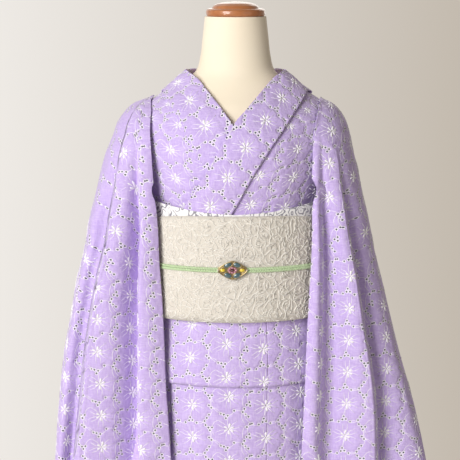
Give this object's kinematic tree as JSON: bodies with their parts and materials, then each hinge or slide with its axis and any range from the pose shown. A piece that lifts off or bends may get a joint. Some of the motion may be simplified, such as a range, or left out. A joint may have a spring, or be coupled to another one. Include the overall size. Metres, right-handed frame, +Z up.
{
  "type": "kimono with obi on a dress form",
  "caption": "Full-length embroidered cotton kimono, left front over right, closed by a wide sash with braid and brooch, on a limbless dress form with a round base.",
  "frame": {"origin": "on the floor at the centre of the stand's round base, under the pole", "axes": "+Z up, the wearer faces -Y, +X is the wearer's left"},
  "size_m": [0.6415, 0.3923, 1.455],
  "materials": {
    "cotton": "lavender eyelet cotton with white embroidery, matt",
    "sash": "ivory sash cloth with raised white scroll cords, matt",
    "bustle": "white thin cloth with grey scrolls",
    "braid": "pale green flat braid",
    "form": "cream cloth-like cover, smooth",
    "wood": "varnished turned wood",
    "steel": "brushed",
    "bronze": "aged gilt filigree",
    "slate": "polished slate-teal stone, opaque",
    "rose": "polished rose stone, opaque",
    "amber": "polished yellow stone, opaque"
  },
  "bodies": {
    "root": {"stand_base": "steel", "stand_pole": "steel", "form_torso": "form", "form_cap": "wood", "collar": "cotton", "body_left_upper": "cotton", "body_right_upper": "cotton", "sleeve_right": "cotton", "sleeve_left": "cotton", "skirt_back_left": "cotton", "skirt_back_right": "cotton", "skirt_front_under": "cotton", "okumi_under": "cotton", "skirt_front_over": "cotton", "okumi_over": "cotton", "tuck_front_left": "cotton", "tuck_okumi_left": "cotton", "tuck_front_right": "cotton", "tuck_back_left": "cotton", "tuck_back_right": "cotton", "sash_band": "sash", "braid": "braid", "bustle_cloth": "bustle", "sash_drum": "sash", "sash_end": "sash", "sash_flap": "sash", "brooch": "bronze"}
  },
  "joints": []
}
